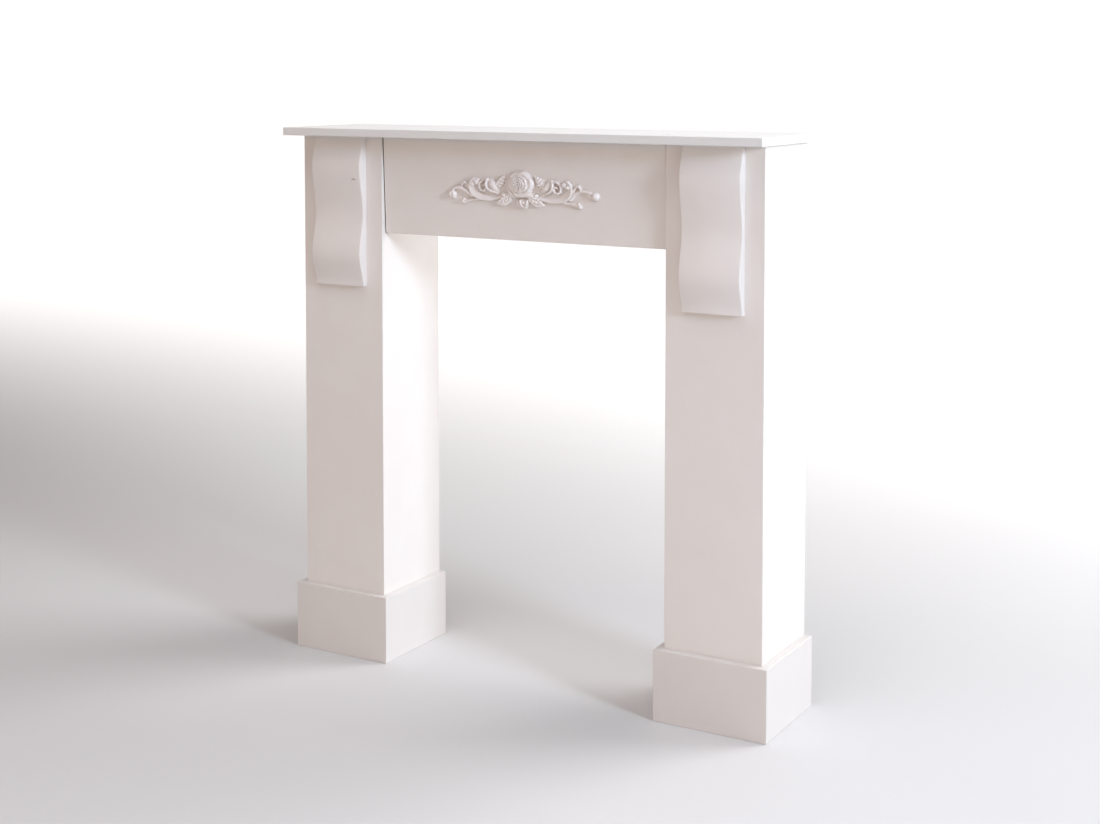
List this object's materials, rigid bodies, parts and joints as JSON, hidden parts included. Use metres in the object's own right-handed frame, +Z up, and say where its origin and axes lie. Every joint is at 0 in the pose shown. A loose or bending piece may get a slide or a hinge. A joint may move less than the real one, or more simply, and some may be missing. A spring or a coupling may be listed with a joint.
{
  "type": "fireplace mantelpiece",
  "caption": "White painted wooden fireplace mantelpiece: a shelf on box pilasters with plinths, S-curved corbels and a frieze with a cast rose ornament, around an open hearth.",
  "frame": {"origin": "on the floor, under the middle of the whole object's box", "axes": "+Z up, -Y the front that faces the room, +Y the open back that stands against the wall, +X to the right as seen from the front"},
  "size_m": [0.974, 0.234, 1],
  "materials": {
    "painted_board": "satin white paint on board",
    "painted_corbel": "satin white paint on shaped wood",
    "painted_casting": "satin white paint on cast resin"
  },
  "bodies": {
    "root": {"mantel_shelf": "painted_board", "frieze_board": "painted_board", "rose_applique": "painted_casting", "left_pilaster_front": "painted_board", "left_pilaster_outer_side": "painted_board", "left_pilaster_inner_side": "painted_board", "right_pilaster_front": "painted_board", "right_pilaster_outer_side": "painted_board", "right_pilaster_inner_side": "painted_board", "left_plinth_front": "painted_board", "left_plinth_outer_side": "painted_board", "left_plinth_inner_side": "painted_board", "right_plinth_front": "painted_board", "right_plinth_outer_side": "painted_board", "right_plinth_inner_side": "painted_board", "left_corbel": "painted_corbel", "right_corbel": "painted_corbel"}
  },
  "joints": []
}
